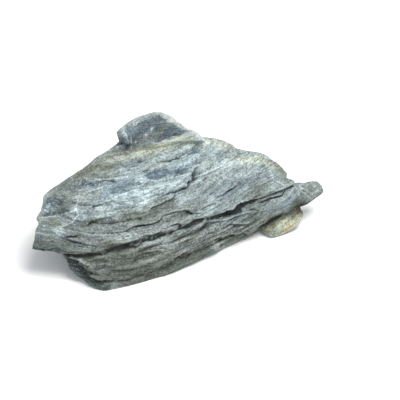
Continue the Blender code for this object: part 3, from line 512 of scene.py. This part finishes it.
# Where the stone's colours lie: outlines of (across, up) points square to the line of sight, and how soft
# their edges are.
colourPatches = {
    "lens": dict(soft=1.6, outlines=[
        [(-61, 79), (-56, 89), (-47, 94), (-36, 98), (-27, 101), (-20, 98), (-12, 93), (0, 88), (10, 84),
         (3, 81), (-10, 77), (-25, 73), (-40, 72), (-48, 70), (-52, 67), (-62, 68), (-64, 72)]]),
    "rim": dict(soft=2.0, outlines=[
        [(-25, 102), (-17, 108), (-8, 100), (6, 93), (22, 87), (26, 75), (16, 75), (8, 84), (-10, 92),
         (-22, 98)]]),
    "shelf": dict(soft=1.0, outlines=[
        [(-33, 70), (-20, 73), (-9, 77), (2, 80), (10, 79), (14, 75), (7, 75), (-2, 76.5), (-12, 73.5),
         (-25, 69)]]),
    "olive": dict(soft=2.0, outlines=[
        [(-44, 75), (-26, 78), (-9, 88.5), (1.5, 90.5), (-1.5, 92), (-13, 90.5), (-26, 81.5), (-44, 79)],
        [(-33, 70), (-50, 67), (-65, 66), (-79, 59), (-94, 49), (-108, 40), (-106, 35), (-90, 42),
         (-76, 51), (-68, 57), (-55, 62), (-37, 66)],
        # painted shade in olive under the pale shelf
        [(-33, 68), (-15, 71.5), (-2, 75), (7, 73.5), (-2, 72), (-15, 68.5), (-30, 65)],
        [(-100, -10), (-92, -5), (-82, -2.5), (-74, -3), (-80, -6), (-90, -9), (-98, -13)],
        [(80, -4), (92, 0), (105, 3), (118, 8), (119, 5), (105, -1), (92, -4), (82, -8)]]),
    "cream": dict(soft=3.0, outlines=[
        [(-37, 65), (-55, 61), (-70, 54), (-78, 50), (-72, 46), (-50, 54), (-30, 58), (-5, 68), (10, 71),
         (10, 75), (-15, 70)],
        [(50, 55), (65, 60), (82, 59), (95, 53), (108, 44), (106, 40), (90, 48), (75, 53), (60, 51)],
        [(24, 76), (40, 77), (55, 70), (48, 66), (36, 70), (24, 71)]]),
    "dark": dict(soft=1.6, outlines=[
        [(-36, 43), (-24, 46), (-10, 45), (5, 47), (10, 49), (6, 43), (-8, 39), (-20, 36), (-32, 35),
         (-34, 39)],
        [(-101, 31), (-95, 36), (-88, 34), (-80, 31), (-88, 29), (-100, 28)],
        [(-136, 12), (-130, 19), (-120, 22), (-113, 17), (-118, 10), (-130, 8)],
        [(-138, 1), (-130, 7), (-114, 7), (-111, 3), (-125, 0), (-136, -2)],
        [(10, 67), (15, 70), (20, 67), (21, 61), (17, 59), (12, 62)],
        [(9, 31), (10, 39), (16, 43), (17, 37), (13, 32)],
        [(-85, -51), (-72, -48), (-66, -52), (-74, -57), (-84, -56)]]),
    "blue": dict(soft=3.0, outlines=[
        [(-78, 25), (-65, 33), (-47, 35), (-45, 29), (-54, 22), (-70, 19)],
        [(30, 28), (46, 34), (66, 39), (82, 41), (76, 30), (60, 22), (42, 14), (30, 18)],
        [(78, 4), (92, 9), (110, 17), (126, 24), (120, 12), (100, 6), (84, 0)],
        [(-128, 30), (-112, 38), (-108, 30), (-120, 24)]]),
    "front": dict(soft=4.0, outlines=[
        [(-120, -32), (-104, -10), (-66, 0), (-34, 6), (-8, 10), (14, 4), (20, -4), (0, -13), (-20, -22),
         (-60, -32), (-96, -43)]]),
    "plate": dict(soft=4.0, outlines=[
        [(66, 30), (66, 50), (84, 56), (104, 44), (114, 32), (100, 24), (84, 24)]]),
    "slab": dict(soft=2.5, outlines=[
        [(52, 2), (70, 13), (90, 18), (110, 27), (130, 36), (145, 30), (144, 22), (128, 12), (108, 3),
         (90, -4), (75, -3), (60, 0)]]),
    "low": dict(soft=5.0, outlines=[
        [(-98, -46), (-60, -37), (-20, -24), (10, -13), (40, -2), (60, 0), (80, -2), (86, -10), (78, -20),
         (60, -25), (20, -40), (-10, -58), (-50, -70), (-84, -72)]]),
    "rough": dict(soft=4.0, outlines=[
        [(8, -28), (25, -16), (45, -7), (65, -1), (78, -2), (74, -14), (55, -19), (35, -25), (14, -38)]]),
    "brown": dict(soft=1.6, outlines=[
        [(-33, 10), (-29, 13), (-17, 17), (-8, 19), (-5, 10), (-10, 4), (-20, 2), (-32, -2), (-30, 5)],
        [(-87, -60), (-75, -58), (-64, -60), (-66, -64), (-85, -65)]]),
    # the dark foot at the lower left: dark stone, darkened further as painted shade on its shadowed underside
    "foot": dict(soft=1.2, outlines=[
        [(-113, -42), (-101, -44), (-98.5, -52), (-90, -58), (-87, -64.5), (-69, -66), (-63, -69.5),
         (-72, -80), (-87, -80), (-104, -72), (-112, -60), (-122, -50), (-122, -43)]]),
    "lump": dict(soft=1.2, outlines=[
        [(78, -17), (82, -12), (89.5, -10), (102.6, -3.5), (117.7, 3), (127, 1), (127, -7), (118, -17),
         (106, -25), (95, -28), (80, -24)]]),
    "ochre": dict(soft=1.0, outlines=[
        [(114, 4), (125, 9), (129, 8), (128, -2), (122, -4), (116, -1)],
        [(100, -18), (107, -13), (116, -9), (117, -13), (109, -19)]]),
    "pale": dict(soft=1.8, outlines=[
        [(-67, -25), (-62, -20), (-53, -17), (-41, -16), (-43, -21), (-52, -25), (-63, -27)],
        [(-126, -19), (-122, -14), (-116, -12), (-114, -16), (-120, -20)],
        [(-136, 5), (-134, 10), (-130, 12), (-132, 7), (-134, 3)],
        [(-85, 15), (-70, 19), (-50, 25), (-30, 31), (-10, 33), (6, 37), (4, 29), (-12, 23), (-30, 17),
         (-50, 12), (-70, 5), (-85, 3)],
        [(-42, 39), (-34, 38), (-32, 33), (-38, 29), (-43, 34)],
        [(-82, -57), (-78, -52), (-72, -51), (-73, -55), (-79, -58)],
        [(-20, -30), (-14, -24), (-8, -23), (-10, -28), (-16, -32)],
        [(10, 31), (27, 40), (40, 46.5), (60, 54), (63, 52), (42, 44), (28, 38), (12, 29)],
        [(132, 33), (140, 32), (143, 24), (138, 24), (133, 29)],
        [(-107, 34), (-98, 38), (-88, 38), (-80, 36), (-90, 35), (-100, 33)]]),
    # painted light: these patches are brightened, such as under the shelf and below the overhang's lip
    "bright": dict(soft=3.0, outlines=[
        [(-51, 64), (-47, 71), (-40, 74), (-22, 76), (-6, 79), (8, 76), (-6, 70), (-24, 65), (-44, 60)],
        [(-62, 76), (-58, 88), (-46, 94), (-41, 88), (-48, 82), (-50, 75)],
        [(-90, -2), (-80, 4), (-66, 4), (-62, -4), (-74, -8)],
        [(-83, 21), (-78, 30), (-67, 29), (-69, 20)],
        [(0, 63), (2, 73), (10, 77), (24, 77), (36, 75), (46, 70), (44, 64), (28, 62), (12, 60)],
        [(97, -10), (108, -5), (120, -1), (123, -6), (114, -12), (101, -15)],
        [(29, -8), (38, -4), (45, -1), (46, -5), (36, -11), (28, -12)],
        [(14, 46), (0, 47), (2, 60), (16, 60), (30, 62), (46, 60), (48, 50), (32, 43)],
        [(-43, 20), (-34, 25), (-24, 20), (-25, 8), (-34, 6), (-43, 10)],
        [(-114, 2), (-106, 8), (-96, 6), (-92, -4), (-100, -10), (-111, -6)],
        [(58, 53), (64, 58), (74, 60), (86, 57), (82, 52), (70, 51)]]),
    # along the lower side of the long crack's slot, where less of the painted crack shade lies
    "crackFoot": dict(soft=0.8, outlines=[
        [(-96, -42), (-86, -40.5), (-78, -38.3), (-70, -35), (-63, -32.8), (-53, -30.3), (-44, -27.6),
         (-38, -25), (-32, -22.8), (-22, -19.5), (-12, -17), (-6, -14.5), (-6, -18), (-12, -21), (-22, -24),
         (-32, -28), (-40, -32), (-48, -35.5), (-63, -38), (-78, -42.5), (-94, -47), (-100, -46)]]),
    "dull": dict(soft=4.0, outlines=[
        [(-142, 32), (-124, 40), (-108, 34), (-100, 24), (-108, 10), (-116, 0), (-124, 0), (-123, 20),
         (-142, 25)],
        [(-152, -22), (-132, -22), (-114, -24), (-98, -34), (-90, -38), (-101, -41), (-118, -40),
         (-150, -42)],
        [(-112, 36), (-98, 46), (-82, 52), (-68, 50), (-66, 42), (-88, 36), (-102, 30)],
        [(-58, 4), (-40, 3), (-26, 4), (-24, -5), (-40, -9), (-58, -8)],
        [(66, 4), (70, 14), (90, 18), (94, 12), (84, 6), (84, -6), (70, -6)],
        [(108, 6), (118, 16), (130, 34), (146, 30), (144, 18), (132, 8), (124, 2), (112, -2), (100, -8),
         (88, -8), (90, -3)],
        [(79, -14), (88, -9), (98, -6), (97, -11), (87, -17), (80, -19)],
        [(-96, -40), (-84, -28), (-66, -29), (-50, -26), (-40, -30), (-28, -37), (-32, -43), (-50, -46),
         (-84, -47), (-94, -47)],
        [(40, -24), (56, -17), (68, -14), (74, -20), (62, -28), (44, -34)],
        [(92, 60), (100, 57), (114, 46), (120, 34), (108, 32), (101, 43), (92, 54)],
        [(66, 20), (74, 32), (88, 31), (92, 22), (80, 18)]]),
    # darker patches, mostly along the bottom of the lower slab
    "darkened": dict(soft=6.0, outlines=[
        [(-97, -50), (-84, -48), (-60, -50), (-40, -48), (-15, -45), (8, -38), (28, -28), (34, -36),
         (24, -54), (0, -72), (-28, -80), (-48, -76), (-66, -67), (-84, -65), (-96, -60)],
        [(-71, -28), (-57, -26), (-50, -33), (-62, -38), (-72, -35)],
        [(113, 4), (117, 13), (131, 13), (127, 5), (120, 0)],
        [(86, -6), (92, 0), (106, 4), (112, 2), (104, -4), (92, -9)]]),
    "cool": dict(soft=10.0, outlines=[
        [(-90, 20), (-86, 34), (-60, 38), (-40, 46), (-20, 50), (2, 58), (0, 72), (24, 74), (22, 60),
         (16, 50), (12, 38), (6, 30), (-12, 18), (-30, 14), (-60, 12), (-88, 6)],
        [(26, -12), (36, 8), (58, 8), (72, 0), (64, -12), (44, -15)]]),
}

# Hairlines of calcite, as (across, up) points.
veins = [
    [(-46, 77), (-51, 78), (-56, 80), (-58, 84), (-53, 89), (-46, 93), (-36, 96)],
    [(-62, 83), (-60, 79), (-56, 74.5), (-50, 75), (-45, 73.5)],
    [(-26, 88), (-31, 84), (-36, 79)],
    [(6.5, 33.5), (23, 41.5), (44, 50), (59, 56)],
    [(4, 31), (-7, 24.5), (-19, 19.5), (-38, 12)],
    [(-39, 39.5), (-38, 36), (-22.5, 34), (-3.5, 37.5), (9, 40.5)],
    [(-104, 33.5), (-95, 37), (-87, 36), (-70, 36), (-52, 38)],
    [(-137, -2.5), (-122, -0.5), (-105, 4), (-103, 6.5)],
    [(-105, 20.5), (-101, 15.5), (-104, 6.5), (-101, 0), (-109, -7.5), (-118, -12.5)],
    [(-78, 11.5), (-58, 20.5), (-39, 27), (-20, 28.5), (0, 33.5)],
    [(-103, 18), (-88.5, 24.5), (-78, 27)],
    [(99.5, 55), (105, 45.5), (110, 33)],
    [(84, 55), (90, 46), (94, 36), (104, 30)],
    [(122, 27), (134, 21.5), (140, 25)],
    [(123, 23), (133, 15.5)],
]


def insideOutline(seen, corners, soft):
    # 1 well inside a closed outline and 0 outside: inside where an odd number of its sides cross the level to
    # the right of a point, softened over the distance to the nearest side.
    nearest = np.full(seen.shape[:-1], 1e9)
    inside = np.zeros(seen.shape[:-1], bool)
    for p, q in zip(corners, corners[1:] + corners[:1]):
        p, q = np.array(p, float), np.array(q, float)
        way, offset = q - p, seen - p
        t = np.clip(offset @ way / (way @ way), 0.0, 1.0)
        nearest = np.minimum(nearest, np.linalg.norm(offset - t[..., None] * way, axis=-1))
        crossed = (p[1] > seen[..., 1]) != (q[1] > seen[..., 1])
        meets = p[0] + way[0] * offset[..., 1] / (way[1] if way[1] else 1.0)
        inside ^= crossed & (seen[..., 0] < meets)
    return unitStep(np.where(inside, nearest, -nearest), -soft, soft)


def patchMask(seen, front, patch):
    # The strongest of a colour's outlines, on the side that faces the viewer.
    masks = [insideOutline(seen, corners, patch["soft"]) for corners in patch["outlines"]]
    return np.maximum.reduce(masks) * front


def veinMask(seen, front):
    # 1 along the hairlines, gone less than a millimetre away.
    gaps = [np.abs(alongLine(seen, vein)[0]) for vein in veins]
    return (1.0 - unitStep(np.minimum.reduce(gaps), *stoneMasks["veinEdge"])) * front


# The masks that are worked out from the mesh. At each scale the surface is smoothed: inside the smoothed one
# painted shade begins at start and is full a hollow further in, and outside it pale wear with a painted
# highlight is full at ridge.
stoneMasks = {
    "near": dict(passes=6, start=0.0, hollow=0.5, shadeWeight=0.75, ridge=0.35, wear=0.6),
    "wide": dict(passes=60, start=0.4, hollow=3.0, shadeWeight=0.8, ridge=2.2, wear=0.5),
    "wander": ((13.0, 1.0, 81), (5.0, 0.5, 83)),   # wavelength, height, seed
    "patchWander": 1.8, "veinWander": 0.7,         # how far outlines and hairlines follow it
    "frontEdge": (-0.25, 0.1), "veinEdge": (0.2, 0.85),
}


def makeStone():
    # The weathered mesh with its masks: crevice and edge are the painted shade in hollows and the wear with a
    # painted highlight on ridges, of both scales, slit is the painted shadow line in the narrow cracks,
    # layered is x, y and the height in the layers, and the rest are patches and hairlines.
    moved, normals, height, slit = weatheredStone()
    shift = np.array([stoneForm["centre"][0], stoneForm["centre"][1], 0.0])
    mesh = closedMesh("seiryuStone", (moved - shift) * mm)

    crevice, edge = np.zeros(height.shape), np.zeros(height.shape)
    for scale, out in (("near", gridNormals(moved)), ("wide", normals)):
        mask = stoneMasks[scale]
        gap = np.sum((gridBlur(moved, mask["passes"]) - moved) * out, axis=-1)
        crevice += mask["shadeWeight"] * np.clip((gap - mask["start"]) / mask["hollow"], 0, 1)
        edge += mask["wear"] * np.clip(-gap / mask["ridge"], 0, 1)
    addNumbers(mesh, "crevice", crevice)
    addNumbers(mesh, "slit", slit)
    addNumbers(mesh, "edge", edge)
    addVectors(mesh, "layered", np.stack([moved[..., 0], moved[..., 1], height], axis=-1))

    drift = wander(moved, stoneMasks["wander"])
    front = unitStep(normals @ towards, *stoneMasks["frontEdge"])
    seen = seenFlat(moved) + stoneMasks["patchWander"] * drift
    for name, patch in colourPatches.items():
        addNumbers(mesh, name, patchMask(seen, front, patch))
    seen = seenFlat(moved) + stoneMasks["veinWander"] * drift
    addNumbers(mesh, "vein", veinMask(seen, front))

    stone = bpy.data.objects.new("seiryuStone", mesh)
    bpy.context.scene.collection.objects.link(stone)
    print("stone mesh made:", len(mesh.polygons), "faces")
    return stone


class Value:
    # A socket that adds a Math node for each sum, difference or product written with it.
    def __init__(self, maker, socket):
        self.maker, self.socket = maker, socket

    def maths(self, operation, first, second):
        return self.maker.maths(operation, first, second)

    def __add__(self, other): return self.maths("ADD", self, other)
    def __radd__(self, other): return self.maths("ADD", other, self)
    def __sub__(self, other): return self.maths("SUBTRACT", self, other)
    def __rsub__(self, other): return self.maths("SUBTRACT", other, self)
    def __mul__(self, other): return self.maths("MULTIPLY", self, other)
    def __rmul__(self, other): return self.maths("MULTIPLY", other, self)


class Finish:
    # A material, with one method for every kind of node.
    def __init__(self, name):
        self.material = bpy.data.materials.new(name)
        self.material.use_nodes = True
        self.tree = self.material.node_tree
        self.shader = self.tree.nodes["Principled BSDF"]

    def node(self, kind, settings=None, inputs=None):
        made = self.tree.nodes.new(kind)
        for key, value in (settings or {}).items():
            setattr(made, key, value)
        for key, value in (inputs or {}).items():
            self.feed(self.socketOf(made, key), value)
        return made

    def socketOf(self, made, key):
        if isinstance(key, int):
            return made.inputs[key]
        return next(s for s in made.inputs if key in (s.identifier, s.name))

    def feed(self, socket, value):
        if isinstance(value, Value):
            self.tree.links.new(value.socket, socket)
        elif isinstance(value, bpy.types.NodeSocket):
            self.tree.links.new(value, socket)
        else:
            socket.default_value = value

    def maths(self, operation, first, second=0.0):
        made = self.node("ShaderNodeMath", {"operation": operation}, {0: first, 1: second})
        return Value(self, made.outputs[0])

    def number(self, name):
        return Value(self, self.node("ShaderNodeAttribute", {"attribute_name": name}).outputs["Fac"])

    def vector(self, name):
        return self.node("ShaderNodeAttribute", {"attribute_name": name}).outputs["Vector"]

    def cloud(self, vector, sizes, shift, detail, rough, distortion=0.0):
        # Noise of the vector divided by a size along each axis, then moved.
        way = (shift, shift, shift)
        scaled = self.node("ShaderNodeVectorMath", {"operation": "DIVIDE"}, {0: vector, 1: sizes})
        moved = self.node("ShaderNodeVectorMath", {"operation": "ADD"}, {0: scaled.outputs[0], 1: way})
        made = self.node("ShaderNodeTexNoise", {"noise_dimensions": "3D"},
                         {"Vector": moved.outputs[0], "Scale": 1.0, "Detail": detail, "Roughness": rough,
                          "Distortion": distortion})
        return Value(self, made.outputs["Fac"])

    def ramp(self, value, low, high, bottom=0.0, top=1.0):
        # bottom at low and top at high, by 3t^2 - 2t^3 between.
        made = self.node("ShaderNodeMapRange", {"interpolation_type": "SMOOTHSTEP"},
                         {"Value": value, "From Min": low, "From Max": high, "To Min": bottom, "To Max": top})
        return Value(self, made.outputs["Result"])

    def mix(self, factor, first, second, how="MIX"):
        made = self.node("ShaderNodeMix", {"data_type": "RGBA", "blend_type": how, "clamp_factor": True},
                         {"Factor_Float": factor, "A_Color": first, "B_Color": second})
        return next(s for s in made.outputs if s.identifier == "Result_Color")


def tone(red, green, blue):
    # An sRGB colour, 0 to 255, as the linear values that a shader takes: ((c + 0.055) / 1.055)^2.4.
    linear = [((c / 255 + 0.055) / 1.055) ** 2.4 if c > 10 else c / 3294.6 for c in (red, green, blue)]
    return (*linear, 1.0)


stoneTones = {
    "grey": tone(101, 112, 115), "light": tone(134, 146, 147), "green": tone(112, 119, 107),
    "blue": tone(88, 102, 110), "front": tone(98, 106, 103), "plate": tone(132, 144, 145),
    "slab": tone(123, 134, 136), "dark": tone(72, 86, 96), "pale": tone(145, 157, 157),
    "olive": tone(92, 94, 76), "cream": tone(134, 140, 126), "shelf": tone(148, 149, 122),
    "rim": tone(168, 175, 171), "lens": tone(60, 74, 84), "low": tone(60, 63, 56),
    "rough": tone(68, 74, 72), "brown": tone(78, 85, 82), "foot": tone(46, 54, 57),
    "lump": tone(133, 134, 114), "ochre": tone(146, 131, 92), "white": tone(206, 216, 214),
    # the near-black tone is painted shade in cracks and crevices; the pale edge tone is wear with a painted
    # highlight
    "pit": tone(40, 47, 51), "crackShade": tone(22, 23, 22), "dustAndHighlight": tone(170, 180, 177),
}

# The noises of the finish, with their sizes in millimetres along, across and through the layers.
stoneNoises = {
    "broad": dict(sizes=(52, 30, 12), shift=3.0, detail=3, rough=0.55, distortion=0.5),
    "streaks": dict(sizes=(17, 9, 3.0), shift=7.0, detail=4, rough=0.6, distortion=0.6),
    "mottle": dict(sizes=(6.5, 4.5, 2.2), shift=1.0, detail=4, rough=0.65, distortion=0.4),
    "grain": dict(sizes=(2.1, 1.7, 1.2), shift=5.0, detail=3, rough=0.7),
    "laminae": dict(sizes=(26, 12, 1.1), shift=13.0, detail=4, rough=0.6, distortion=0.3),
    "crystal": dict(sizes=(1.15, 1.0, 0.9), shift=9.0, detail=2, rough=0.6),
    "greenish": dict(sizes=(36, 20, 9), shift=19.0, detail=3, rough=0.6, distortion=0.5),
    "bluish": dict(sizes=(24, 14, 5), shift=31.0, detail=3, rough=0.6, distortion=0.5),
}

# How much of its own tone each of these patches takes.
patchShares = dict(front=0.7, plate=0.6, slab=0.8, low=0.8, rough=0.8, blue=0.55, brown=0.85, cream=0.8,
                   rim=0.85, lens=0.95, foot=0.97, lump=0.95)

# The colours in the order that they are laid on: the tone, how much of it, the masks that it lies in, and
# the noises that break it up, each from 0 at its first value to 1 at its second.
stoneLayers = {
    "body": [
        ("light", 1.0, (), [("broad", 0.38, 0.62)]),
        ("green", 0.6, (), [("greenish", 0.46, 0.66)]),
        ("blue", 0.6, (), [("bluish", 0.54, 0.66)]),
        *[(name, share, (name,), []) for name, share in patchShares.items()],
        ("dark", 1.0, ("dark",), [("mottle", 0.72, 0.50)]),
        ("pale", 1.0, ("pale",), [("mottle", 0.32, 0.54)]),
        ("olive", 0.75, ("olive",), [("streaks", 0.30, 0.50)]),
        ("cream", 0.5, ("low",), [("laminae", 0.52, 0.64)]),
        ("shelf", 0.95, ("shelf",), []),
        ("ochre", 1.0, ("ochre",), [("grain", 0.25, 0.5)]),
    ],
    "crystals": [   # white calcite in the grain, paler specks in the dark places, and pits
        ("white", 0.75, (), [("crystal", 0.60, 0.70), ("mottle", 0.42, 0.62)]),
        ("pale", 0.5, ("darkPlaces",), [("crystal", 0.56, 0.66)]),
        ("pit", 0.7, (), [("crystal", 0.40, 0.30), ("mottle", 0.56, 0.40)]),
    ],
    # the pale worn edges below also carry a painted highlight on the ledges' lips
    "weather": [    # hairlines, pale worn edges, and olive in the hollows
        ("white", 0.7, ("vein",), [("grain", 0.34, 0.56)]),
        ("dustAndHighlight", 0.7, ("edge", "dusty"), [("grain", 0.3, 0.6)]),
        ("olive", 0.35, ("hollow",), [("greenish", 0.40, 0.6)]),
    ],
    # near-black painted shade in the deep crevices, and a painted shadow line in the narrow cracks
    "cracks": [
        ("crackShade", 0.85, ("deep", "bare", "shallow"), []),
        ("crackShade", 0.85, ("narrow", "bare"), []),
    ],
}

stoneLook = {
    # light and dark by noise: from value to value, and the brightness at each
    "shade": [("streaks", 0.32, 0.66, 0.82, 1.16), ("mottle", 0.30, 0.68, 0.76, 1.24),
              ("laminae", 0.36, 0.62, 0.82, 1.16), ("grain", 0.34, 0.66, 0.58, 1.44)],
    # calcite threads: noise sizes and shift, width, and how much of the stone has none
    "threads": [((150, 90, 110), 41.0, 0.0022, 0.54), ((90, 140, 70), 47.0, 0.0026, 0.56)],
    "threadShare": 0.7, "threadPatches": (40, 30, 22), "threadFade": 0.12,
    # what masks add to 1: brightness (painted light in the bright patches, darker in the dull and darkened
    # ones), then red and blue beside it, dust on edges, and the painted shade of the long crack
    "worn": dict(bright=0.45, dull=-0.36, darkened=-0.55),
    "red": dict(cool=-0.05), "blue": dict(cool=0.06, dull=-0.08, darkened=-0.08),
    "dusty": dict(darkPlaces=-0.8), "shallow": dict(crackFoot=-0.6),
    # the pale bands, which take little of the cracks' painted shade
    "paleBands": dict(shelf=1.0, cream=1.0, olive=1.0, rim=1.0, bright=1.0, lump=0.7), "bandShare": 0.9,
    "hollow": (0.2, 0.9), "deep": (0.35, 1.25), "narrow": (0.3, 0.8),   # of crevice, crevice and slit
    "roughness": (0.3, 0.7, 0.84, 0.66), "specular": 0.35,
    "relief": dict(streaks=0.25, mottle=0.35, grain=0.25, laminae=0.25), "bumpDistance": 0.0014,
}


def summed(parts, shares, total=0.0):
    # A start value plus each part times its share.
    for name, share in shares.items():
        total = total + parts[name] * share
    return total


def stoneFinish():
    # Grey under the body's tones, shaded by noise; over it crystals, threads and weather; then that times the
    # painted light and darkening of the brightness patches, and last the cracks' painted shade.
    f = Finish("seiryu limestone")
    look, layered = stoneLook, f.vector("layered")
    noises = {name: f.cloud(layered, **made) for name, made in stoneNoises.items()}
    masks = {name: f.number(name) for name in [*colourPatches, "vein", "edge", "crevice", "slit"]}
    masks["darkPlaces"] = masks["lens"] + masks["foot"]
    masks["hollow"] = f.ramp(masks["crevice"], *look["hollow"])
    masks["deep"] = f.ramp(masks["crevice"], *look["deep"])
    masks["narrow"] = f.ramp(masks["slit"], *look["narrow"])
    masks["dusty"] = summed(masks, look["dusty"], 1.0)
    masks["shallow"] = summed(masks, look["shallow"], 1.0)
    masks["bare"] = 1.0 - look["bandShare"] * f.maths("MINIMUM", summed(masks, look["paleBands"]), 1.0)

    def laid(body, layers):
        # Each tone is mixed in by its share times its masks times its noises.
        for name, factor, places, breaks in layers:
            for place in places:
                factor = factor * masks[place]
            for noiseName, low, high in breaks:
                factor = factor * f.ramp(noises[noiseName], low, high)
            body = f.mix(factor, body, stoneTones[name])
        return body

    def lit(body, red, green, blue):
        # The body's colour times a brightness for each channel.
        light = f.node("ShaderNodeCombineColor", None, {0: red, 1: green, 2: blue}).outputs[0]
        return f.mix(1.0, body, light, "MULTIPLY")

    body = laid(stoneTones["grey"], stoneLayers["body"])
    shade = 1.0
    for name, low, high, bottom, top in look["shade"]:
        shade = shade * f.ramp(noises[name], low, high, bottom, top)
    body = laid(lit(body, shade, shade, shade), stoneLayers["crystals"])

    # A thread lies where a slow noise passes through its middle value, in the places that have threads.
    for sizes, shift, width, some in look["threads"]:
        slow = f.cloud(layered, sizes, shift, 2, 0.35)
        thread = f.ramp(f.maths("ABSOLUTE", slow - 0.5), width, 0.0)
        places = f.cloud(layered, look["threadPatches"], shift + 2.0, 2, 0.5)
        there = f.ramp(places, some, some + look["threadFade"])
        body = f.mix(thread * there * look["threadShare"], body, stoneTones["white"])

    body = laid(body, stoneLayers["weather"])
    # brightness by patch: painted light in the bright patches, darker in the dull and darkened ones
    worn = summed(masks, look["worn"], 1.0)
    redder, bluer = summed(masks, look["red"], 1.0), summed(masks, look["blue"], 1.0)
    body = laid(lit(body, worn * redder, worn, worn * bluer), stoneLayers["cracks"])

    f.feed(f.shader.inputs["Base Color"], body)
    f.feed(f.shader.inputs["Roughness"], f.ramp(noises["mottle"], *look["roughness"]))
    f.shader.inputs["Specular IOR Level"].default_value = look["specular"]
    relief = summed(noises, look["relief"])
    depth = look["bumpDistance"]
    bump = f.node("ShaderNodeBump", None, {"Strength": 1.0, "Distance": depth, "Height": relief})
    f.feed(f.shader.inputs["Normal"], bump.outputs[0])
    print("stone finish made:", len(f.tree.nodes), "nodes")
    return f.material


studio = {
    "floorSize": 6.0, "floorDrop": 0.0004, "floorTone": tone(240, 240, 240), "floorRoughness": 0.9,
    "sky": (0.95, 0.975, 1.0, 1.0), "skyStrength": 0.75,
    "key": dict(place=(0.45, -0.45, 1.95), aim=(0, 0, 0.04), size=1.3, watts=45, colour=(1.0, 0.985, 0.96)),
    "lens": 400.0, "frameWidth": 400.0, "sensor": 36.0, "clipEnd": 100.0,
    "middle": (20.0, 15.0, 60.0),   # of the picture: across, up and nearer than the working origin
}


def floorFinish():
    f = Finish("pale floor")
    f.shader.inputs["Base Color"].default_value = studio["floorTone"]
    f.shader.inputs["Roughness"].default_value = studio["floorRoughness"]
    return f.material


def makeStudio():
    half = studio["floorSize"] / 2
    mesh = bpy.data.meshes.new("floor")
    low = -studio["floorDrop"]
    corners = [(-half, -half, low), (half, -half, low), (half, half, low), (-half, half, low)]
    mesh.from_pydata(corners, [], [(0, 1, 2, 3)])
    floor = bpy.data.objects.new("floor", mesh)
    bpy.context.scene.collection.objects.link(floor)
    mesh.materials.append(floorFinish())

    world = bpy.data.worlds.new("studio")
    world.use_nodes = True
    sky = world.node_tree.nodes["Background"]
    sky.inputs["Color"].default_value = studio["sky"]
    sky.inputs["Strength"].default_value = studio["skyStrength"]
    bpy.context.scene.world = world

    key = studio["key"]
    light = bpy.data.lights.new("key", "AREA")
    light.shape, light.size, light.energy, light.color = "DISK", key["size"], key["watts"], key["colour"]
    lamp = bpy.data.objects.new("key", light)
    bpy.context.scene.collection.objects.link(lamp)
    lamp.location = key["place"]
    lamp.rotation_euler = (Vector(key["aim"]) - Vector(key["place"])).to_track_quat("-Z", "Y").to_euler()

    camera = bpy.data.cameras.new("camera")
    camera.lens, camera.sensor_width, camera.clip_end = studio["lens"], studio["sensor"], studio["clipEnd"]
    across, up, near = studio["middle"]
    centre = np.array([stoneForm["centre"][0], stoneForm["centre"][1], 0.0])
    target = (across * rightward + up * upward + near * towards - centre) * mm
    distance = studio["frameWidth"] * mm * studio["lens"] / studio["sensor"]
    eye = bpy.data.objects.new("camera", camera)
    bpy.context.scene.collection.objects.link(eye)
    turned = Matrix((Vector(rightward), Vector(upward), Vector(towards))).transposed().to_4x4()
    eye.matrix_world = Matrix.Translation(Vector(target + distance * towards)) @ turned
    bpy.context.scene.camera = eye
    bpy.context.scene.view_settings.view_transform = "Standard"
    print("studio set")


stone = makeStone()
stone.data.materials.append(stoneFinish())
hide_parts("stone")
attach(stone, "root")
makeStudio()
